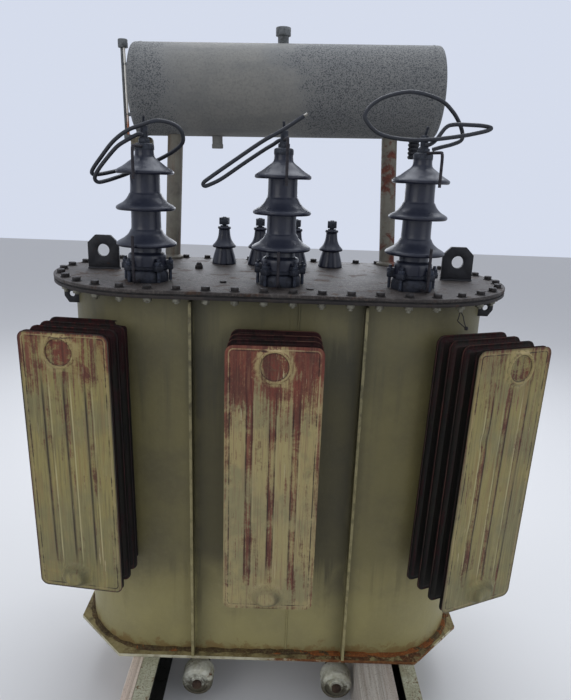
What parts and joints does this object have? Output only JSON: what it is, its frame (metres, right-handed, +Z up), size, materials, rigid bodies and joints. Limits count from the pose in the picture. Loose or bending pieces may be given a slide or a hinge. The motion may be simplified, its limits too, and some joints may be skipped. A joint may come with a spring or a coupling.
{
  "type": "power transformer",
  "caption": "Old outdoor oil-filled power transformer with pressed radiators, porcelain bushings, lifting lugs and an overhead oil conservator, standing on beams.",
  "frame": {"origin": "on the ground, under the middle of the tank", "axes": "+X to the right along the row of high-voltage bushings seen from the front, +Y to the back (conservator side), +Z up"},
  "size_m": [1.3069, 0.884, 1.9832],
  "materials": {
    "tank_paint": "weathered olive-cream paint",
    "cover_grime": "dirty oily paint",
    "conservator_paint": "weathered grey-green paint",
    "radiator_paint": "cream paint worn to red primer",
    "brown_porcelain": "dark brown glazed porcelain",
    "dull_steel": "dull weathered metal",
    "rusty_steel": "rusty painted steel",
    "post_paint": "stained beige paint",
    "beam_paint": "pale mossy paint",
    "old_timber": "grey weathered timber",
    "roller_iron": "mossy cast iron",
    "black_sheath": "black cable sheath"
  },
  "bodies": {
    "transformer": {"beam_left": "beam_paint", "beam_right": "beam_paint", "bottom_plate": "rusty_steel", "breather": "dull_steel", "conservator_end_left": "conservator_paint", "conservator_end_right": "conservator_paint", "conservator_post_left": "post_paint", "conservator_post_right": "post_paint", "conservator_shell": "conservator_paint", "cover_plate": "cover_grime", "drain_stub": "conservator_paint", "eye_plate_left": "tank_paint", "eye_plate_right": "tank_paint", "filler_cap": "dull_steel", "hv_foot_centre": "dull_steel", "hv_foot_left": "dull_steel", "hv_foot_right": "dull_steel", "hv_insulator_centre": "brown_porcelain", "hv_insulator_left": "brown_porcelain", "hv_insulator_right": "brown_porcelain", "hv_terminal_centre": "dull_steel", "hv_terminal_left": "dull_steel", "hv_terminal_right": "dull_steel", "level_gauge": "dull_steel", "lifting_lug_left": "cover_grime", "lifting_lug_right": "cover_grime", "lv_bushing_1": "brown_porcelain", "lv_bushing_2": "brown_porcelain", "lv_bushing_3": "brown_porcelain", "lv_bushing_4": "brown_porcelain", "oil_pot": "rusty_steel", "radiator_back_centre": "radiator_paint", "radiator_back_left": "radiator_paint", "radiator_back_right": "radiator_paint", "radiator_front_centre": "radiator_paint", "radiator_front_left": "radiator_paint", "radiator_front_right": "radiator_paint", "rib_back_left": "tank_paint", "rib_back_right": "tank_paint", "rib_front_left": "tank_paint", "rib_front_right": "tank_paint", "roller_bar_back": "rusty_steel", "roller_bar_front": "rusty_steel", "tank_flange": "cover_grime", "tank_wall_left": "tank_paint", "tank_wall_right": "tank_paint", "timber_left": "old_timber", "timber_right": "old_timber", "wire_centre": "black_sheath", "wire_left": "black_sheath", "wire_right": "black_sheath"},
    "roller_back_left": {"roller_back_left": "roller_iron"},
    "roller_back_right": {"roller_back_right": "roller_iron"},
    "roller_front_left": {"roller_front_left": "roller_iron"},
    "roller_front_right": {"roller_front_right": "roller_iron"}
  },
  "joints": [
    {"name": "roller_back_left_spin", "type": "hinge", "parent": "transformer", "child": "roller_back_left", "pos_m": [-0.208, 0.22, 0.088], "axis": [0, 1, 0], "continuous": true},
    {"name": "roller_back_right_spin", "type": "hinge", "parent": "transformer", "child": "roller_back_right", "pos_m": [0.208, 0.22, 0.088], "axis": [0, 1, 0], "continuous": true},
    {"name": "roller_front_left_spin", "type": "hinge", "parent": "transformer", "child": "roller_front_left", "pos_m": [-0.208, -0.22, 0.088], "axis": [0, 1, 0], "continuous": true},
    {"name": "roller_front_right_spin", "type": "hinge", "parent": "transformer", "child": "roller_front_right", "pos_m": [0.208, -0.22, 0.088], "axis": [0, 1, 0], "continuous": true}
  ]
}
